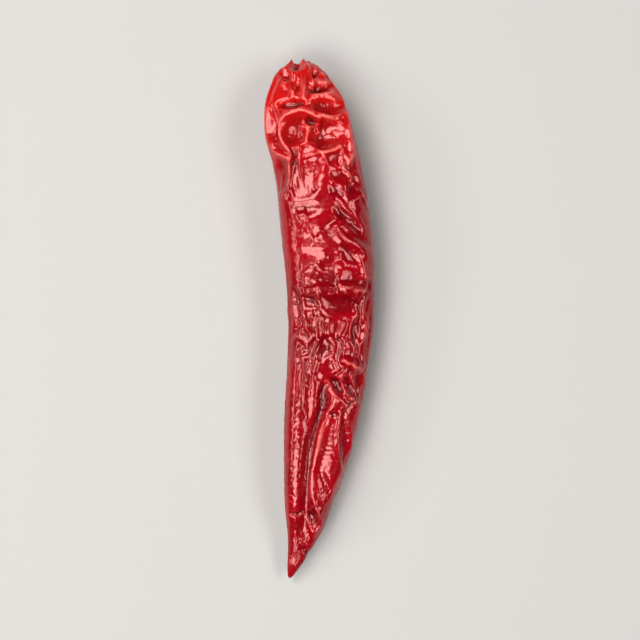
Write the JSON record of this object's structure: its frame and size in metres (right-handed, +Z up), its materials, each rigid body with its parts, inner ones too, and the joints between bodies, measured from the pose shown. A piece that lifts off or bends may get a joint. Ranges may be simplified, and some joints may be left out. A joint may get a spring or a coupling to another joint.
{
  "type": "dried chilli pepper",
  "caption": "Dried red chilli pod without its stem: a slender, gently bowed, wrinkled pod with a puckered mouth and a pointed tip, lying on its belly.",
  "frame": {"origin": "middle of the underside of the pod's box, on the surface that it lies on", "axes": "+Y along the pod towards its mouth, where the stem came away, -Y towards its tip, +X towards the outside of its bow, +Z up"},
  "size_m": [0.0174, 0.082, 0.0109],
  "materials": {
    "dried_skin": "satin"
  },
  "bodies": {
    "root": {"chilli_pod": "dried_skin"}
  },
  "joints": []
}
